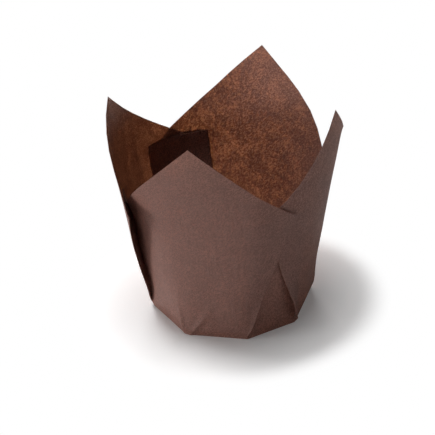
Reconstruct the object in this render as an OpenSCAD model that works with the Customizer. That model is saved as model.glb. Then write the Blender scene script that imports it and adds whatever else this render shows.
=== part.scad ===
// Tulip cupcake liner: one square sheet of baking paper, folded up into a cup with four petals.
// The eight-sided base is flat on the floor. Each petal carries on past its side of the base as far as
// an outer fold, runs back underneath to an inner fold, and meets the short wall of the next diagonal.
// Two petals stand off the cup with a loose fold: the left one towards the front, the right one towards
// the back. The corner of the next petal is left unfolded under each of them.
// Origin: the middle of the base's underside. +Z is up, the front petal points to -Y, the right one
// to +X.
// All lengths are millimetres and all angles are degrees.

/* [Sheet] */
// Side of the square sheet, mm
sheet_size = 150; // [146:0.5:154]
// Width of the base from one flat side to the other, mm
base_width = 52; // [50:0.5:54]
// Thickness of the paper, mm
paper_thickness = 0.12; // [0.1:0.01:0.14]
// Distance between the middles of two sheets that lie on each other, mm
layer_pitch = 0.32; // [0.3:0.01:0.36]

/* [Pleats] */
// Angle between a petal's middle line and its outer folds, degrees
fold_angle = 25; // [24.5:0.1:25.5]
// Height over which a pleat opens out of the plain wall, mm
pleat_start = 5; // [4.5:0.1:6]
// Half width of the paper that a pleat takes up at the floor, mm
pleat_root = 0.9; // [0.8:0.05:1.2]
// How far the left petal's loose front fold stands off the cup at its top, mm
left_fold_lift = 6.5; // [5:0.1:7.5]
// How far the right petal's back fold stands off the cup at its top, mm
right_back_lift = 7.5; // [5:0.1:8]
// Share of the way from a petal's middle line to its loose fold at which the paper leaves the cup
loose_start = 0.1; // [0:0.05:0.2]
// How far the front petal's right fold stands off below the next petal's fold, mm
front_fold_lift = 0.9; // [0:0.1:1]
// How far the right petal's front fold stands off below the front petal, mm
right_fold_lift = 2.4; // [1.5:0.1:2.6]
// Height at which the front petal lies on that fold again, mm
right_fold_end = 30; // [26:1:31]
// Height from which the outer layers are spread to pass over the next petal's fold, mm
overlap_start = 14; // [10:1:15]
// Width over which those layers rise, mm
overlap_width = 6; // [5:0.5:6.5]
// How far the front petal's left shoulder curls out at its edge, mm
shoulder_curl = 0.3; // [0:0.1:0.4]
// Height from which the shoulder curls, mm
shoulder_height = 42; // [38:1:43]
// How far the wall below that shoulder is drawn in, mm
shoulder_hollow = 1; // [0:0.1:1.2]
// Height of the hollow's middle, mm
hollow_height = 38; // [36:1:40]
// Reach of the hollow above and below its middle, mm
hollow_reach = 10; // [8:1:12]
// Height over which the two unfolded corners fan out, mm
open_height = 18; // [14:1:24]

/* [Wall] */
// Height at which the eight-sided wall has become round, mm
round_height = 60; // [50:1:70]
// Height over which its corners get soft, mm
soft_height = 12; // [8:1:20]
// Height at which the petals start to bend, mm
bend_height = 35; // [30:1:40]
// Length of paper over which the bends below are given, mm
bend_length = 10; // [8:0.5:12]
// Outward lean of the wall at the front, degrees
lean_front = 6.5; // [5:0.5:8]
// Outward lean of the wall between front and right, degrees
lean_front_right = 10; // [9:0.5:12]
// Outward lean of the wall at the right, degrees
lean_right = 10; // [8:0.5:12]
// Outward lean of the wall between right and back, degrees
lean_right_back = 9.5; // [8:0.5:11]
// Outward lean of the wall at the back, degrees
lean_back = 8; // [6:0.5:9]
// Outward lean of the wall between back and left, degrees
lean_back_left = 13.5; // [12:0.5:14.5]
// Outward lean of the wall at the left, degrees
lean_left = 9.5; // [8:0.5:11]
// Outward lean of the wall between left and front, degrees
lean_left_front = 8.5; // [7:0.5:10]

/* [Petals] */
// Outward bend of the front petal in that length, degrees
bend_front = 2; // [0:0.5:4]
// Outward bend between front and right in that length, degrees
bend_front_right = -0.5; // [-2:0.5:1]
// Outward bend of the right petal in that length, degrees
bend_right = -1; // [-3:0.5:1]
// Outward bend between right and back in that length, degrees
bend_right_back = 5; // [3:0.5:6]
// Outward bend of the back petal in that length, degrees
bend_back = 2.5; // [1:0.5:4]
// Outward bend between back and left in that length, degrees
bend_back_left = -9; // [-10:0.5:-7]
// Outward bend of the left petal in that length, degrees
bend_left = -3; // [-5:0.5:-2]
// Outward bend between left and front in that length, degrees
bend_left_front = 2; // [0:0.5:3]
// Height from which the petals sway sideways, mm
sway_start = 20; // [15:1:30]
// Sideways sway of the front petal's tip, mm
sway_front = 1; // [-1:0.5:3]
// Sideways sway of the right petal's tip, mm
sway_right = -5.5; // [-7:0.5:-3]
// Sideways sway of the back petal's tip, mm
sway_back = -2.5; // [-5:0.5:-1]
// Sideways sway of the left petal's tip, mm
sway_left = 9.5; // [6:0.5:11]

/* [Base corners] */
// Direction of the base corner left of the front side, degrees
corner_front_left = -18.5; // [-21:0.5:-17]
// Direction of the base corner right of the front side, degrees
corner_front_right = 26; // [24:0.5:27]
// Direction of the base corner before the right side, degrees
corner_right_front = 65; // [63:0.5:67]
// Direction of the base corner after the left side, degrees
corner_left_front = 293.5; // [291:0.5:295]

/* [Hidden] */

// Angle between neighbouring sides of an even base.
eighth = 360 / 8;

half_base = base_width / 2;
side = 2 * half_base * tan(eighth / 2);
corner_radius = half_base / cos(eighth / 2);
round_radius = 4 * side / PI;

lean = [lean_front, lean_front_right, lean_right, lean_right_back,
        lean_back, lean_back_left, lean_left, lean_left_front];
bend = [bend_front, bend_front_right, bend_right, bend_right_back,
        bend_back, bend_back_left, bend_left, bend_left_front];
sway = [sway_front, sway_right, sway_back, sway_left];
corners = [corner_front_left, corner_front_right, corner_right_front,
           2.5 * eighth, 3.5 * eighth, 4.5 * eighth, 5.5 * eighth, corner_left_front];

// How far a petal lies outside the short walls, and how far it rises to pass over a fold.
petal_out = 2 * layer_pitch;
over_rise = 2.6 * layer_pitch;
// A passing petal rises this far before its corner line, and the paper under it this far behind it.
over_lead = 0.5;
under_lag = 2;

// Mean lean of the wall, and how fast one eighth of it widens on each side of its middle.
mean_lean = (lean[0] + lean[1] + lean[2] + lean[3] + lean[4] + lean[5] + lean[6] + lean[7]) / 8;
widen = sin(mean_lean) * PI / 8;

// Paper that the pleat hides: the sheet's quarter less what the leaning wall needs.
inner_angle = eighth / 2 * (1 + sin(mean_lean)) - fold_angle;
outer_slope = tan(fold_angle) - widen;
inner_slope = widen - tan(inner_angle);

// Distance along the paper from the base's edge to a petal's tip and to the middle of a sheet side.
tip_height = sheet_size / sqrt(2) - half_base;
notch_height = sheet_size / 2 - half_base;

// Height at which the sheet's edge crosses a line that leaves the petal's middle line by slope.
function edge_height(slope) = (tip_height - side / 2) / (1 + slope);

// Height at which an outer fold meets the sheet's edge.
fold_top = edge_height(widen + outer_slope);

// Counts of strips: along the height, low down in it, across a side, a wedge and a short wall.
rows = 16;
low_steps = [0, 0.24, 0.36, 0.46, 0.56, 0.72, 1, 1.6];
low_rows = len(low_steps) - 1;
low_height = pleat_start * low_steps[low_rows];
side_strips = 6;
wedge_strips = 4;
wall_strips = 4;
open_strips = 8;

// Share of an unfolded corner's width at which the sheet's edge has its lowest point.
open_turn = 0.5;

// Distance at the floor between neighbouring lines of a pleat.
root_step = pleat_root / (wedge_strips + 2);

// Softness of the outline's corners at the floor and above it.
sharpest = 0.004;
softest = 0.06;

// Bend below which the wall counts as straight, degrees per mm.
least_bend = 0.001;
// Share of a pleat's height in which its layers part, and how early a fold's low bulge is widest.
parting = 0.6;
bulge_skew = 0.6;
// How evenly a loose fold stands off from the floor to its top: 1 is a straight line.
lift_curve = 0.9;
// How sharply it turns out towards its edge: 1 is a straight line, 2 a parabola.
lift_power = 3;

function ease(x) = let (c = max(0, min(1, x))) c * c * (3 - 2 * c);
function wrap(i) = i - 8 * floor(i / 8);

// Value of a list of eight, smoothly between its eight directions.
function around(list, a) =
    let (x = a / eighth, i = floor(x), w = (1 - cos(180 * (x - i))) / 2)
    list[wrap(i)] * (1 - w) + list[wrap(i + 1)] * w;

// Direction of the corner before side j of the base, counted on all the way round.
function corner(j) = corners[wrap(j)] + 360 * floor(j / 8);

// Half the width of one eighth of the wall, and its radius, at height v.
function half_side(v) = side / 2 + v * widen;
function wall_radius(v) = round_radius + v * sin(mean_lean);

// Radius of the eight-sided outline in direction a at height v: its corners are sharp at the floor,
// soft above it, and turned to even ones by the share w.
function outline(a, v, w) =
    let (near = [for (j = [0:7])
             let (c0 = corner(j) * (1 - w) + eighth * (j - 0.5) * w,
                  c1 = corner(j + 1) * (1 - w) + eighth * (j + 0.5) * w,
                  turn = a - (c0 + c1) / 2,
                  d = turn - 360 * round(turn / 360))
             if (cos(d) > 0) cos(d) / cos((c1 - c0) / 2)],
         top = max(near),
         soft = sharpest + (softest - sharpest) * ease(v / soft_height),
         parts = [for (x = near) pow(x / top, 1 / soft)])
    corner_radius / top / pow(parts * [for (x = near) 1], soft);

// Point of the wall in direction a, at height v along the paper, n outside the short walls.
function wall_point(a, v, n) =
    let (l = around(lean, a),
         k = around(bend, a) / bend_length,
         b = abs(k) < least_bend ? least_bend : k,
         low = min(v, bend_height),
         high = max(v - bend_height, 0),
         scale = 180 / PI / b,
         r = low * sin(l) + (cos(l) - cos(l + b * high)) * scale,
         z = low * cos(l) + (sin(l + b * high) - sin(l)) * scale,
         w = ease(v / round_height),
         radius = outline(a, v, w) * (1 - w) + round_radius * w + r + n)
    [radius * sin(a), -radius * cos(a), z];

// Direction of the point u from the middle of side j; side 0 is the front one, side 1 the next diagonal.
function direction(j, u, v) =
    let (h = half_side(v))
    u > h ? direction(j + 1, u - 2 * h, v)
    : u < -h ? direction(j - 1, u + 2 * h, v)
    : let (c0 = corner(j), c1 = corner(j + 1), w = ease(v / round_height))
      ((c0 + c1) / 2 + atan(u / h * tan((c1 - c0) / 2))) * (1 - w)
      + (eighth * j + u / wall_radius(v) * 180 / PI) * w;

// Height on the wall of a point u beside its middle line: flat paper rolled to a cone rises sideways.
function risen(u, v) = v + u * u * sin(mean_lean) / (2 * wall_radius(v)) * ease(v / round_height);

// Sideways shift of petal i at height v.
function shift(i, v) = sway[i] * pow(max(v - sway_start, 0) / (tip_height - sway_start), 2);

// Height of row k on a line of paper that is top long.
function row_height(k, top) =
    k <= low_rows ? pleat_start * low_steps[k]
    : low_height + (top - low_height) * (k - low_rows) / (rows - low_rows);

// How far the pleats are opened at height v, and how far their layers have parted.
function opened(v) = ease(v / pleat_start);
function parted(v) = ease(v / (parting * pleat_start));

// Share of the layers' distance by which a fold's middle line lies inside its outer layer.
function half_turn(v) = (1 + opened(v)) / 4;

// Extra height of a petal's wedge, x from its corner line, where it passes over its neighbour's fold.
function passing(x, v) =
    over_rise * ease(x / overlap_width) * ease((v - overlap_start) / overlap_start);

// Whether petal i has a loose fold over the next corner, which is then left unfolded.
function loose(i) = i == 1 || i == 3;

// How far the petals with the loose folds stand off the cup, u from their middle line.
function loose_lift(i, u, v) =
    let (reach = half_side(v) + v * outer_slope,
         most = i == 3 ? left_fold_lift : i == 1 ? right_back_lift : 0)
    most * opened(v) * pow(v / fold_top, lift_curve)
        * pow(max(0, u / reach - loose_start) / (1 - loose_start), lift_power);

// The hollow in the wall below the front petal's left shoulder.
function drawn_in(i, v) =
    i == 3 ? -shoulder_hollow * pow(cos(90 * min(1, abs(v - hollow_height) / hollow_reach)), 2) : 0;

// Standing off of a fold low down, where nothing holds it.
function low_bulge(v) =
    pow(sin(180 * pow(max(0, min(1, v / right_fold_end)), bulge_skew)), 2);
function right_lift(v) = right_fold_lift * low_bulge(v);

// Place [direction, height, distance out] on the face of petal i, share g of the wedge past its corner
// line on side d (1 or -1), at row k; the fold's own width adds to it by the share m.
function wedge_place(i, d, g, root, k, m) =
    let (v = row_height(k, edge_height(widen + g * outer_slope)),
         o = opened(v),
         x = root * (1 - o) + (v * g * outer_slope + m * layer_pitch / 2) * o,
         u = d * (half_side(v) + x),
         a = direction(2 * i, u + shift(i, v), v),
         h = risen(u, v),
         lift = loose(i) && d > 0 ? loose_lift(i, u, v)
              : i == 1 && d < 0 ? right_lift(v) * g
              : i == 0 && d > 0 ? front_fold_lift * low_bulge(v) * g * g : 0,
         over = d > 0 && !loose(i) ? passing(x + over_lead, v) : 0)
    [a, h, (petal_out - m * half_turn(v) * layer_pitch) * parted(v) + lift + over];

// Place on the middle part of petal i, share f (-1 to 1) of its half width.
function side_place(i, f, k) =
    let (v = row_height(k, (tip_height - abs(f) * side / 2) / (1 + abs(f) * widen)),
         inset = !loose(i) && f < 0 ? 0 : pleat_root * (1 - opened(v)),
         u = f * (half_side(v) - inset),
         a = direction(2 * i, u + shift(i, v), v),
         lift = loose_lift(i, u, v))
    [a, risen(u, v), petal_out * parted(v) + lift];

// Place on the inner fold of gusset i on the side of petal i (d = 1) or of the next one (d = -1).
function inner_place(i, d, root, k, m) =
    let (v = row_height(k, notch_height),
         o = opened(v),
         x = root * (1 - o) + (v * inner_slope - m * layer_pitch / 2) * o,
         u = -d * (half_side(v) - x))
    [direction(2 * i + 1, u, v), risen(u, v),
     m * half_turn(v) * layer_pitch * parted(v) + (d > 0 ? drawn_in(i, v) : 0)];

// Standing off of the paper under petal p, at x past its corner line, share g out from the inner fold.
function under_lift(p, i, d, g, x, v) =
    let (near = pow(1 - g, 2))
    loose(p) && d > 0 ? loose_lift(p, half_side(v) + x, v) * (1 - near) + drawn_in(i, v) * near
    : p == 1 && d < 0 ? right_lift(v) * g * g
    : p == 0 && d > 0 ? front_fold_lift * low_bulge(v) * g * g : 0;

// Place on the paper that runs back under petal p, from its outer fold (g = 1) to the inner one (g = 0).
function under_place(p, i, d, g, k) =
    let (m = wedge_place(p, d, 1, 0, k, 0),
         n = inner_place(i, d, root_step * wedge_strips, k, 0),
         v = g * row_height(k, fold_top) + (1 - g) * row_height(k, notch_height),
         x = v * (g * outer_slope + (1 - g) * inner_slope),
         o = opened(v),
         over = d > 0 && !loose(p) ? passing(x - under_lag, v) : 0)
    [g * m[0] + (1 - g) * n[0], g * m[1] + (1 - g) * n[1],
     ((0.5 + g) * (1 - o) + o) * layer_pitch * parted(v) + under_lift(p, i, d, g, x, v) + over];

// Place on the short wall of gusset i.
function short_place(i, f, k) =
    let (v = row_height(k, notch_height),
         o = opened(v),
         u = f * (half_side(v) - pleat_root * (1 - o) - v * inner_slope * o))
    [direction(2 * i + 1, u, v), risen(u, v), 0];

// Curl of the front petal's left shoulder out to its edge.
function curled_out(i, v) =
    i == 3 ? shoulder_curl * ease((v - shoulder_height) / (notch_height - shoulder_height)) : 0;

// Place on the unfolded corner of gusset i, from the loose petal's inner fold (g = 0) to the next
// petal (g = 1).
function open_place(i, g, k) =
    let (q = max(0, (g - open_turn) / (1 - open_turn)),
         top = q > 0 ? edge_height(widen + (1 - q) * outer_slope)
             : notch_height + (fold_top - notch_height) * g / open_turn,
         v = row_height(k, top),
         h = half_side(v),
         o = opened(v),
         start = -h + pleat_root * (1 - o) + v * inner_slope * o,
         turn = h - v * outer_slope,
         low = start + (h - start) * g,
         high = q > 0 ? h - (1 - q) * v * outer_slope : start + (turn - start) * g / open_turn,
         e = ease(v / open_height),
         u = low * (1 - e) + high * e,
         swayed = shift((i + 1) % 4, v) * min(1, g / open_turn),
         rise = risen(q > 0 ? 2 * h - u : u, v) * q + risen(u, v) * (1 - q))
    [direction(2 * i + 1, u + swayed, v), rise,
     petal_out * parted(v) * ease(g) + drawn_in(i, v) * pow(cos(90 * g), 2)
     + curled_out(i, v) * pow(sin(180 * g), 2)];

// One column of places, named by what it runs along.
function place(c, k) =
    c[0] == "side" ? side_place(c[1], c[2], k)
    : c[0] == "wedge" ? wedge_place(c[1], c[2], c[3], c[4], k, c[5])
    : c[0] == "under" ? under_place(c[1], c[2], c[3], c[4], k)
    : c[0] == "inner" ? inner_place(c[1], c[2], c[3], k, 1)
    : c[0] == "short" ? short_place(c[1], c[2], k)
    : open_place(c[1], c[2], k);

// Columns of one pleat half on side d of petal p, in gusset i, from the petal outward.
function pleat(p, i, d) = concat(
    [for (s = [1:wedge_strips])
        ["wedge", p, d, s / wedge_strips, root_step * (s - wedge_strips - 2), 0]],
    [["wedge", p, d, 1, -root_step, 1]],
    [for (s = [wedge_strips:-1:0]) ["under", p, i, d, s / wedge_strips]],
    [["inner", i, d, root_step * (wedge_strips + 1)]]);

function reversed(list) = [for (n = [len(list) - 1:-1:0]) list[n]];

// All columns once round the cup, counted from the front petal's left corner.
columns = [
    for (p = [0:3]) each concat(
        p == 1 || p == 3 ? reversed(pleat(p, p - 1, -1)) : [],
        [for (s = [0:side_strips]) ["side", p, 2 * s / side_strips - 1]],
        pleat(p, p, 1),
        loose(p) ? [for (s = [0:open_strips - 1]) ["open", p, s / open_strips]]
        : [for (s = [0:wall_strips]) ["short", p, 2 * s / wall_strips - 1]])];
count = len(columns);

middle = [for (c = columns) [for (k = [0:rows])
    let (p = place(c, k)) wall_point(p[0], p[1], p[2])]];

function unit(p) = let (n = norm(p)) n > 0 ? p / n : [0, 0, 0];

// Outward direction across the paper at column j and row k.
function across(j, k) =
    let (p = middle[j][k],
         next = middle[(j + 1) % count][k],
         last = middle[(j + count - 1) % count][k],
         east = unit(unit(next - p) + unit(p - last)),
         up = unit(middle[j][min(k + 1, rows)] - middle[j][max(k - 1, 0)]))
    unit(cross(east, up));

outer = [for (j = [0:count - 1]) [for (k = [0:rows])
    let (q = middle[j][k] + across(j, k) * paper_thickness / 2)
    k == 0 ? [q[0], q[1], 0] : q]];
inner = [for (j = [0:count - 1]) [for (k = [0:rows])
    let (q = middle[j][k] - across(j, k) * paper_thickness / 2)
    k == 0 ? [q[0], q[1], paper_thickness] : q]];

function outer_index(j, k) = (j % count) * (rows + 1) + k;
function inner_index(j, k) = count * (rows + 1) + outer_index(j, k);

// Two triangles for the patch a, b, c, d, cut along its diagonal from a to c, or else from b to d.
function patch(a, b, c, d, first) = first ? [[a, b, c], [a, c, d]] : [[a, b, d], [b, c, d]];

// Whether the patch's shorter diagonal is the one that rises with the columns.
function rising(j, k) =
    let (next = (j + 1) % count)
    norm(middle[next][k + 1] - middle[j][k]) < norm(middle[j][k + 1] - middle[next][k]);

under_centre = 2 * count * (rows + 1);
upper_centre = under_centre + 1;

// The folded sheet: outer face, inner face, cut edge and both faces of the base.
module liner() {
    color("#5f4a43")
    polyhedron(
        points = concat([for (c = outer) each c], [for (c = inner) each c],
                        [[0, 0, 0], [0, 0, paper_thickness]]),
        faces = concat(
            [for (j = [0:count - 1]) for (k = [0:rows - 1]) each patch(
                outer_index(j, k), outer_index(j, k + 1),
                outer_index(j + 1, k + 1), outer_index(j + 1, k), rising(j, k))],
            [for (j = [0:count - 1]) for (k = [0:rows - 1]) each patch(
                inner_index(j + 1, k), inner_index(j + 1, k + 1),
                inner_index(j, k + 1), inner_index(j, k), !rising(j, k))],
            [for (j = [0:count - 1])
                [outer_index(j, rows), inner_index(j, rows), inner_index(j + 1, rows)]],
            [for (j = [0:count - 1])
                [outer_index(j, rows), inner_index(j + 1, rows), outer_index(j + 1, rows)]],
            [for (j = [0:count - 1]) [under_centre, outer_index(j, 0), outer_index(j + 1, 0)]],
            [for (j = [0:count - 1]) [upper_centre, inner_index(j + 1, 0), inner_index(j, 0)]]),
        convexity = 12);
}

liner();
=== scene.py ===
import math

import bmesh
import bpy
from bpy.props import FloatProperty, FloatVectorProperty, IntProperty, PointerProperty
from mathutils import Matrix, Vector


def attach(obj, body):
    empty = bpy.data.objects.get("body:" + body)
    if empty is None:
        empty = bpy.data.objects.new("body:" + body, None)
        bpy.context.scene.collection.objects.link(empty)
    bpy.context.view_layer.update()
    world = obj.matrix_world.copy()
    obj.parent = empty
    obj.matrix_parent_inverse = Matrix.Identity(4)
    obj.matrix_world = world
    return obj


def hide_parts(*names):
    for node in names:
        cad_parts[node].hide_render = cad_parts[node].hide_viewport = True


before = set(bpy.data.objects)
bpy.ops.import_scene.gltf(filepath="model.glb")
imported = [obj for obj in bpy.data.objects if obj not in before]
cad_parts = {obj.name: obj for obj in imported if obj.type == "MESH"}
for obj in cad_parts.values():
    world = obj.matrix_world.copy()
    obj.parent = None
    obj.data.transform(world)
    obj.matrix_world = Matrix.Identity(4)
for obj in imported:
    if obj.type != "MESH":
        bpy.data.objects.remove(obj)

bl_info = {
    "name": "Tulip cupcake liner",
    "version": (1, 0, 0),
    "blender": (4, 5, 0),
    "location": "3D View > Sidebar > Liner",
    "description": "Dresses a folded paper baking cup and sets it on a pale floor",
    "category": "Object",
}

MILLIMETRE = 0.001
# The camera's sensor, in the millimetres that its focal length is given in.
SENSOR_WIDTH = 36

# Corners of the loose triangles that lie closer than this are one vertex.
MERGE_DISTANCE = 0.001 * MILLIMETRE
# Two triangles become one four-sided face where they turn and skew less than this.
QUAD_TURN = math.radians(60)
QUAD_SKEW = math.radians(100)
# An edge spans the paper where its length is the thickness, give or take this share of it.
SPAN_TOLERANCE = 0.01

# Each ridge at the pinched corner: how far to the side it starts, and how much further it is
# at the end of its reach, both in half widths of a ridge.
RIDGES = ((-0.6, -0.8), (0.8, 7))
# The share of its reach at which a ridge is highest, and the share over which it fades out.
RIDGE_PEAK = 0.3125
RIDGE_FADE = 0.625

# The values of the pulp pattern between which the colour goes from thin to thick.
FACE_RANGE = (0.35, 0.65)
GLOW_RANGE = (0.415, 0.54)

# The softboxes: name, turn and rise in degrees, distance, width and height in millimetres, watts.
LAMPS = (
    ("back_lamp", 200, -7.5, 220, 80, 14, 0.9),
    ("high_window", -92, 74, 1000, 250, 250, 5.2),
    ("left_window", -60, 6, 1000, 350, 300, 3.4),
    ("front_strip", -14, 0, 1000, 600, 70, 1.3),
    ("right_window", 88, -1, 1000, 300, 70, 0.9),
    ("left_strip", -72, 0, 1000, 300, 100, 1.3),
)


def srgb(code):
    """The linear colour of an sRGB hex value such as #5f4a43."""
    parts = [int(code[i:i + 2], 16) / 255 for i in (1, 3, 5)]
    return tuple(p / 12.92 if p <= 0.04045 else ((p + 0.055) / 1.055) ** 2.4 for p in parts)


def soft_hill(x):
    """A soft hill, 1 at the middle and 0 from -1 and 1 outwards."""
    return (1 - min(1, x * x)) ** 2


def towards(turn, rise):
    """The direction at that turn from the front and that angle above the floor."""
    return Vector((math.sin(turn) * math.cos(rise), -math.cos(turn) * math.cos(rise),
                   math.sin(rise)))


def length(name, description, default):
    """A length property, its default given in millimetres."""
    return FloatProperty(name=name, description=description, default=default * MILLIMETRE,
                         unit="LENGTH", subtype="DISTANCE", precision=5)


def angle(name, description, default):
    """An angle property, its default given in degrees."""
    return FloatProperty(name=name, description=description, default=math.radians(default),
                         unit="ROTATION", subtype="ANGLE")


def share(name, description, default):
    """A share between nothing and all."""
    return FloatProperty(name=name, description=description, default=default, min=0, max=1,
                         subtype="FACTOR")


def colour(name, description, default):
    """A colour property, its default given as an sRGB hex value."""
    return FloatVectorProperty(name=name, description=description, default=srgb(default),
                               min=0, max=1, size=3, subtype="COLOR")


class LinerShape(bpy.types.PropertyGroup):
    """Sizes of the paper's edges, folds, waves and ridges"""
    thickness: length("Paper thickness", "Distance between the two faces of the sheet", 0.12)
    smoothing: IntProperty(name="Smoothing", description="Levels of subdivision",
                           default=2, min=1, max=2)
    smooth_angle: angle("Smooth angle", "Turn up to which two faces are shaded as one", 40)
    base_fold: angle("Base fold", "Turn from which the fold round the base stays sharp", 30)
    rim_corner: angle("Rim corner", "Turn of the cut edge from which a corner stays sharp", 30)
    rim_height: length("Rim height", "Height above which all of the cut edge lies", 20)
    wave_spacing: length("Wave spacing", "Distance between the soft waves of the wall", 22)
    wave_height: length("Wave height", "Height of the soft waves", 0.5)
    flat_height: length("Flat height", "Height over which the waves grow from the base", 12)
    corner: angle("Pinched corner", "Direction of the base corner with the two ridges", -18.5)
    ridge_width: length("Ridge width", "Half the width of a ridge", 1.6)
    ridge_reach: length("Ridge reach", "Height up to which the ridges run", 16)
    ridge_height: length("Ridge height", "How far the ridges stand out of the wall", 0.65)


class LinerPaper(bpy.types.PropertyGroup):
    """Colours and pattern sizes of the baking paper"""
    face: colour("Face", "Colour of the paper's surface", "#9e7468")
    face_thick: colour("Thick spots", "Colour of the surface where the pulp lies thicker",
                       "#91695f")
    glow: colour("Glow", "Colour of the light that comes through", "#ffcdaa")
    glow_thick: colour("Dense glow", "That colour where the pulp lies thicker", "#90694f")
    through: share("Light let through", "Share of the light that enters the sheet", 0.3)
    grain: angle("Grain", "Slant of the fibres across the front petal", 45)
    fibre: length("Fibre width", "Width at which the fibres are drawn", 0.25)
    fibre_reach: FloatProperty(name="Fibre reach", description="Length of a fibre in widths",
                               default=2.2, min=1)
    floc: length("Floc size", "Size of the tufts in which the pulp settles", 0.5)
    fibre_share: share("Fibre share", "How much of the pulp's pattern is single fibres", 0.55)
    line: length("Line spacing", "Distance between the upright lines", 1.4)
    line_reach: FloatProperty(name="Line reach", description="Length of a line in spacings",
                              default=12, min=1)
    line_share: share("Line share", "How much of the relief is upright lines", 0.8)
    relief: length("Relief", "Height of the fibres and lines on the surface", 0.22)
    cloud: length("Cloud size", "Distance between thicker and thinner parts of the sheet", 5)
    cloud_share: share("Cloud share", "How much of the glow's pattern is such parts", 0.15)


class LinerStage(bpy.types.PropertyGroup):
    """The floor, the background and the camera"""
    floor_colour: colour("Floor", "Colour of the floor", "#f4f3f3")
    floor_size: length("Floor size", "Side of the square floor", 6000)
    azimuth: angle("Camera direction", "Turn of the camera round the cup, from the front", 17.44)
    elevation: angle("Camera height", "Angle of the view down onto the cup", 28.91)
    roll: angle("Camera roll", "Tilt of the camera about its view", -3.38)
    distance: length("Camera distance", "Distance from the camera to its target", 509.2)
    target: length("Target height", "Height at which the camera and the lamps aim", 40)
    room: share("Room light", "Strength of the light that comes from all round", 0.01)
    cup_edge: length("Cup edge", "Distance from the middle at which the cup meets the floor", 28)
    shade_start: length("Shade start",
                        "Distance from the middle up to which the floor shows its shade", 44)
    shade_end: length("Shade end", "Distance from the middle from which the floor is plain white",
                      57)
    # Painted shade: the floor gets less added white beside the cup than at the end of the shade,
    # so it is painted darker near the cup.
    shade_near: share("Shade glow", "White added to the lit floor beside the cup", 0.12)
    shade_far: share("Outer shade glow", "White added to the lit floor at the end of the shade",
                     0.6)
    focal: FloatProperty(name="Focal length", description="Focal length on a 36 mm sensor",
                         default=122.93, unit="CAMERA")
    shift_x: FloatProperty(name="Shift across", description="Shift of the frame across",
                           default=-0.0216)
    shift_y: FloatProperty(name="Shift up", description="Shift of the frame upwards",
                           default=-0.0462)


def select_only(piece):
    """Leaves piece as the one selected and active object."""
    bpy.ops.object.select_all(action="DESELECT")
    piece.select_set(True)
    bpy.context.view_layer.objects.active = piece


def apply_modifier(piece, kind, **settings):
    """Adds a modifier of that kind with its settings and applies it."""
    modifier = piece.modifiers.new(kind.lower(), kind)
    for name, value in settings.items():
        setattr(modifier, name, value)
    bpy.ops.object.modifier_apply(modifier=modifier.name)


def add_node(tree, kind, inputs=None, **settings):
    """Adds a node with its settings; inputs gives a value or an output for each socket."""
    node = tree.nodes.new(kind)
    for name, value in settings.items():
        setattr(node, name, value)
    for name, value in (inputs or {}).items():
        if isinstance(value, bpy.types.NodeSocket):
            tree.links.new(value, node.inputs[name])
        else:
            node.inputs[name].default_value = value
    return node


def new_material(name):
    """A material, its node tree and its output node."""
    material = bpy.data.materials.new(name)
    material.use_nodes = True
    material.node_tree.nodes.clear()
    return material, material.node_tree, add_node(material.node_tree, "ShaderNodeOutputMaterial")


def rim_faces(mesh, shape):
    """The faces of the cut edge: four-sided, with two edges that span the paper."""
    limit = SPAN_TOLERANCE * shape.thickness
    return {f for f in mesh.faces
            if len(f.verts) == 4 and f.calc_center_median().z > shape.rim_height
            and sum(abs(e.calc_length() - shape.thickness) < limit for e in f.edges) == 2}


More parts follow.
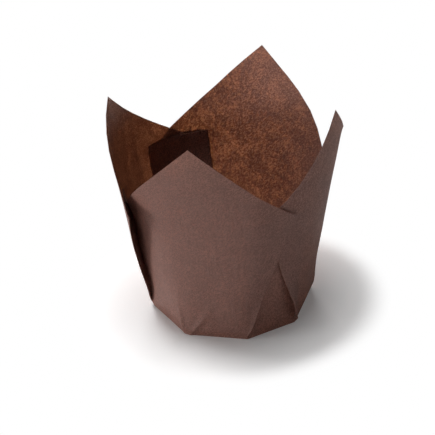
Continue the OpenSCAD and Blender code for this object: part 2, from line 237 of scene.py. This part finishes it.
def greaseproof_paper(paper):
    """Greaseproof paper, beaten pulp pressed thin and dyed brown. It looks matt, with a faint
    grey sheen, and glows orange and flecked where light comes through."""
    material, tree, output = new_material("greaseproof_paper")
    place = add_node(tree, "ShaderNodeTexCoord").outputs["Object"]
    # The grain runs along one side of the square, so it slants across the front and back petals.
    grain = add_node(tree, "ShaderNodeMapping",
                     {"Vector": place, "Rotation": (0, paper.grain, 0),
                      "Scale": (1, 1, paper.fibre_reach)}, vector_type="TEXTURE")
    # Real fibres are about 0.03 mm wide; they are drawn wider here so that they show.
    fibres, flocs = [add_node(tree, "ShaderNodeTexNoise",
                              {"Vector": grain.outputs["Vector"], "Scale": 1 / size, "Detail": 2,
                               "Roughness": 0.5, "Distortion": 0.6})
                     for size in (paper.fibre, paper.floc)]
    clouds = add_node(tree, "ShaderNodeTexNoise",
                      {"Vector": place, "Scale": 1 / paper.cloud, "Detail": 2, "Roughness": 0.5})
    pulp = add_node(tree, "ShaderNodeMix",
                    {"Factor": paper.fibre_share, "A": flocs.outputs["Fac"],
                     "B": fibres.outputs["Fac"]}, data_type="FLOAT")
    sheet = add_node(tree, "ShaderNodeMix",
                     {"Factor": paper.cloud_share, "A": pulp.outputs["Result"],
                      "B": clouds.outputs["Fac"]}, data_type="FLOAT")
    mixes = []
    for pattern, (low, high), thin, thick in (
            (fibres.outputs["Fac"], FACE_RANGE, paper.face, paper.face_thick),
            (sheet.outputs["Result"], GLOW_RANGE, paper.glow, paper.glow_thick)):
        dense = add_node(tree, "ShaderNodeMapRange",
                         {"Value": pattern, "From Min": low, "From Max": high})
        mixes.append(add_node(tree, "ShaderNodeMix",
                              {"Factor": dense.outputs["Result"], "A": (*thin, 1),
                               "B": (*thick, 1)}, data_type="RGBA").outputs["Result"])
    face, glow = mixes
    # Pressing the sheet over a form leaves faint upright lines.
    upright = add_node(tree, "ShaderNodeMapping",
                       {"Vector": place, "Scale": (1, 1, paper.line_reach)}, vector_type="TEXTURE")
    lines = add_node(tree, "ShaderNodeTexNoise",
                     {"Vector": upright.outputs["Vector"], "Scale": 1 / paper.line, "Detail": 1})
    relief = add_node(tree, "ShaderNodeMix",
                      {"Factor": paper.line_share, "A": pulp.outputs["Result"],
                       "B": lines.outputs["Fac"]}, data_type="FLOAT")
    bump = add_node(tree, "ShaderNodeBump",
                    {"Height": relief.outputs["Result"], "Strength": 0.7,
                     "Distance": paper.relief})
    surface = add_node(tree, "ShaderNodeBsdfPrincipled",
                       {"Base Color": face, "Roughness": 0.55, "IOR": 1.47,
                        "Specular IOR Level": 0.6, "Normal": bump.outputs["Normal"]})
    inside = add_node(tree, "ShaderNodeBsdfTranslucent", {"Color": glow})
    both = add_node(tree, "ShaderNodeMixShader",
                    {0: paper.through, 1: surface.outputs["BSDF"], 2: inside.outputs["BSDF"]})
    tree.links.new(both.outputs["Shader"], output.inputs["Surface"])
    return material


def matt_white_card(stage):
    """Matt white card: it has no gloss and shows the lamps' soft shade. The camera also sees added
    white that grows from the cup's edge outwards, so the floor is painted darker next to the cup,
    painted shade on top of the lamps' shade, and plain white further out.

    Is Glossy Ray and Is Transmission Ray are left out here and in the background. The object
    has no metal or glass, and a ray that has come through the paper counts as a transmission
    ray, so the white would light the paper."""
    material, tree, output = new_material("matt_white_card")
    card = add_node(tree, "ShaderNodeBsdfDiffuse", {"Color": (*stage.floor_colour, 1)})
    seen = add_node(tree, "ShaderNodeLightPath").outputs["Is Camera Ray"]
    place = add_node(tree, "ShaderNodeTexCoord").outputs["Object"]
    reach = add_node(tree, "ShaderNodeVectorMath", {0: place}, operation="LENGTH")
    # Painted shade: the added white grows from the cup's edge to the end of the shade, so the
    # floor next to the cup is painted darker.
    painted_shade_white = add_node(tree, "ShaderNodeMapRange",
                    {"Value": reach.outputs["Value"], "From Min": stage.cup_edge,
                     "From Max": stage.shade_end, "To Min": stage.shade_near,
                     "To Max": stage.shade_far})
    level = add_node(tree, "ShaderNodeMath", {0: seen, 1: painted_shade_white.outputs["Result"]},
                     operation="MULTIPLY")
    # This emission is the painted shade's added white, seen only by the camera.
    glow = add_node(tree, "ShaderNodeEmission", {"Strength": level.outputs[0]})
    near = add_node(tree, "ShaderNodeAddShader", {0: card.outputs[0], 1: glow.outputs[0]})
    fade = add_node(tree, "ShaderNodeMapRange",
                    {"Value": reach.outputs["Value"], "From Min": stage.shade_start,
                     "From Max": stage.shade_end}, interpolation_type="SMOOTHSTEP")
    part = add_node(tree, "ShaderNodeMath", {0: seen, 1: fade.outputs["Result"]},
                    operation="MULTIPLY")
    white = add_node(tree, "ShaderNodeEmission")
    both = add_node(tree, "ShaderNodeMixShader",
                    {0: part.outputs[0], 1: near.outputs[0], 2: white.outputs[0]})
    tree.links.new(both.outputs["Shader"], output.inputs["Surface"])
    return material


class LINER_OT_fold_cup(bpy.types.Operator):
    """Smooths a copy of the folded sheet and gives it its soft waves, ridges and paper"""
    bl_idname = "liner.fold_cup"
    bl_label = "Folded cup"

    def execute(self, context):
        shape = context.scene.liner_shape
        piece = bpy.data.objects.new("folded_cup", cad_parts["liner"].data.copy())
        context.scene.collection.objects.link(piece)
        select_only(piece)
        self.merge()
        self.crease(piece, shape)
        apply_modifier(piece, "SUBSURF", levels=shape.smoothing, render_levels=shape.smoothing)
        self.wave(piece, shape)
        self.pinch(piece, shape)
        bpy.ops.object.shade_smooth_by_angle(angle=shape.smooth_angle)
        piece.data.materials.clear()
        piece.data.materials.append(greaseproof_paper(context.scene.liner_paper))
        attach(piece, "root")
        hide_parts("liner")
        return {"FINISHED"}

    def merge(self):
        """Joins the loose triangles into one mesh of four-sided faces."""
        bpy.ops.mesh.customdata_custom_splitnormals_clear()
        bpy.ops.object.mode_set(mode="EDIT")
        bpy.ops.mesh.select_all(action="SELECT")
        bpy.ops.mesh.remove_doubles(threshold=MERGE_DISTANCE)
        bpy.ops.mesh.tris_convert_to_quads(face_threshold=QUAD_TURN, shape_threshold=QUAD_SKEW)
        bpy.ops.mesh.select_all(action="DESELECT")
        bpy.ops.object.mode_set(mode="OBJECT")

    def crease(self, piece, shape):
        """Keeps the cut edge, its corners and the fold round the base sharp."""
        bpy.ops.object.mode_set(mode="EDIT")
        mesh = bmesh.from_edit_mesh(piece.data)
        for face in rim_faces(mesh, shape):
            for edge in face.edges:
                edge.select_set(True)
        # The fold round the base lies lower than twice the paper's thickness.
        for edge in mesh.edges:
            low = max(v.co.z for v in edge.verts) < 2 * shape.thickness
            if low and edge.calc_face_angle(0) > shape.base_fold:
                edge.select_set(True)
        bmesh.update_edit_mesh(piece.data)
        bpy.ops.transform.edge_crease(value=1)
        bpy.ops.mesh.select_all(action="DESELECT")
        mesh = bmesh.from_edit_mesh(piece.data)
        rim = rim_faces(mesh, shape)
        across = (1 + SPAN_TOLERANCE) * shape.thickness
        for vertex in {v for face in rim for v in face.verts}:
            along = [(e.other_vert(vertex).co - vertex.co).normalized()
                     for e in vertex.link_edges
                     if e.calc_length() > across and not rim.isdisjoint(e.link_faces)]
            if len(along) == 2 and along[0].angle(-along[1]) > shape.rim_corner:
                vertex.select_set(True)
        bmesh.update_edit_mesh(piece.data)
        bpy.ops.transform.vert_crease(value=1)
        bpy.ops.mesh.select_all(action="DESELECT")
        bpy.ops.object.mode_set(mode="OBJECT")

    def wave(self, piece, shape):
        """Bends the wall in soft waves that move both faces of the sheet alike."""
        group = piece.vertex_groups.new(name="wall")
        for vertex in piece.data.vertices:
            up = min(1, max(0, vertex.co.z / shape.flat_height))
            group.add([vertex.index], up * up * (3 - 2 * up), "REPLACE")
        clouds = bpy.data.textures.new("waves", "CLOUDS")
        clouds.cloud_type = "COLOR"
        clouds.noise_scale = shape.wave_spacing
        clouds.noise_depth = 1
        apply_modifier(piece, "DISPLACE", texture=clouds, direction="RGB_TO_XYZ",
                       strength=shape.wave_height, mid_level=0.5, vertex_group=group.name)
        bpy.ops.object.vertex_group_remove(all=True)

    def pinch(self, piece, shape):
        """Raises the two soft ridges that run up from the pinched corner of the base."""
        group = piece.vertex_groups.new(name="ridges")
        corner = towards(shape.corner, 0)
        across = towards(shape.corner + math.pi / 2, 0)
        for vertex in piece.data.vertices:
            up = vertex.co.z / shape.ridge_reach
            if up < 1 and vertex.co.dot(corner) > 0:
                side = vertex.co.dot(across) / shape.ridge_width
                hills = sum(soft_hill(side - lean * up - start) for start, lean in RIDGES)
                rise = soft_hill((up - RIDGE_PEAK) / RIDGE_FADE)
                group.add([vertex.index], hills * rise, "REPLACE")
        # The corner faces the front, so the ridges are raised towards -Y.
        apply_modifier(piece, "DISPLACE", direction="Y", strength=-shape.ridge_height, mid_level=0,
                       vertex_group=group.name)
        bpy.ops.object.vertex_group_remove(all=True)


class LINER_OT_set_stage(bpy.types.Operator):
    """Lays the pale floor and sets the lamps, the background and the camera"""
    bl_idname = "liner.set_stage"
    bl_label = "Floor, lamps and camera"

    def execute(self, context):
        stage = context.scene.liner_stage
        self.floor(stage)
        self.background(context.scene, stage)
        for lamp in LAMPS:
            self.softbox(context.scene, stage, *lamp)
        self.camera(context.scene, stage)
        context.scene.view_settings.view_transform = "Standard"
        return {"FINISHED"}

    def floor(self, stage):
        """Lays the wide floor under the cup."""
        bpy.ops.object.select_all(action="DESELECT")
        bpy.ops.mesh.primitive_plane_add(size=stage.floor_size)
        floor = bpy.context.object
        floor.name = "floor"
        floor.data.materials.append(matt_white_card(stage))

    def background(self, scene, stage):
        """Gives the camera a white background and all other rays a faint even light."""
        world = bpy.data.worlds.new("white_room")
        world.use_nodes = True
        tree = world.node_tree
        tree.nodes.clear()
        output = add_node(tree, "ShaderNodeOutputWorld")
        seen = add_node(tree, "ShaderNodeLightPath").outputs["Is Camera Ray"]
        strength = add_node(tree, "ShaderNodeMapRange",
                            {"Value": seen, "To Min": stage.room, "To Max": 1})
        white = add_node(tree, "ShaderNodeBackground",
                         {"Color": (1, 1, 1, 1), "Strength": strength.outputs["Result"]})
        tree.links.new(white.outputs["Background"], output.inputs["Surface"])
        scene.world = world

    def softbox(self, scene, stage, name, turn, rise, distance, width, height, power):
        """Hangs a flat lamp that faces the cup from one direction."""
        lamp = bpy.data.lights.new(name, "AREA")
        lamp.shape = "RECTANGLE"
        lamp.size = width * MILLIMETRE
        lamp.size_y = height * MILLIMETRE
        lamp.energy = power
        holder = bpy.data.objects.new(name, lamp)
        scene.collection.objects.link(holder)
        back = towards(math.radians(turn), math.radians(rise))
        holder.location = Vector((0, 0, stage.target)) + back * distance * MILLIMETRE
        holder.rotation_euler = back.to_track_quat("Z", "Y").to_euler()

    def camera(self, scene, stage):
        """Sets the camera at the photograph's viewing angle."""
        data = bpy.data.cameras.new("camera")
        data.lens = stage.focal
        data.sensor_width = SENSOR_WIDTH
        data.shift_x = stage.shift_x
        data.shift_y = stage.shift_y
        holder = bpy.data.objects.new("camera", data)
        scene.collection.objects.link(holder)
        back = towards(stage.azimuth, stage.elevation)
        turn = back.to_track_quat("Z", "Y").to_matrix().to_4x4()
        roll = Matrix.Rotation(stage.roll, 4, "Z")
        place = Vector((0, 0, stage.target)) + back * stage.distance
        holder.matrix_world = Matrix.Translation(place) @ turn @ roll
        scene.camera = holder


class LINER_PT_panel(bpy.types.Panel):
    """Lists the sizes and colours and makes the pieces"""
    bl_idname = "LINER_PT_panel"
    bl_label = "Cupcake liner"
    bl_space_type = "VIEW_3D"
    bl_region_type = "UI"
    bl_category = "Liner"

    def draw(self, context):
        for owner, operator in ((context.scene.liner_shape, LINER_OT_fold_cup),
                                (context.scene.liner_paper, None),
                                (context.scene.liner_stage, LINER_OT_set_stage)):
            box = self.layout.box()
            for name in owner.bl_rna.properties.keys():
                if name not in {"rna_type", "name"}:
                    box.prop(owner, name)
            if operator:
                box.operator(operator.bl_idname)


CLASSES = (LinerShape, LinerPaper, LinerStage, LINER_OT_fold_cup, LINER_OT_set_stage,
           LINER_PT_panel)


def register():
    for cls in CLASSES:
        bpy.utils.register_class(cls)
    bpy.types.Scene.liner_shape = PointerProperty(type=LinerShape)
    bpy.types.Scene.liner_paper = PointerProperty(type=LinerPaper)
    bpy.types.Scene.liner_stage = PointerProperty(type=LinerStage)


def unregister():
    del bpy.types.Scene.liner_shape
    del bpy.types.Scene.liner_paper
    del bpy.types.Scene.liner_stage
    for cls in reversed(CLASSES):
        bpy.utils.unregister_class(cls)


def main():
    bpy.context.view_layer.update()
    register()
    bpy.ops.liner.fold_cup()
    bpy.ops.liner.set_stage()


if __name__ == "__main__":
    main()
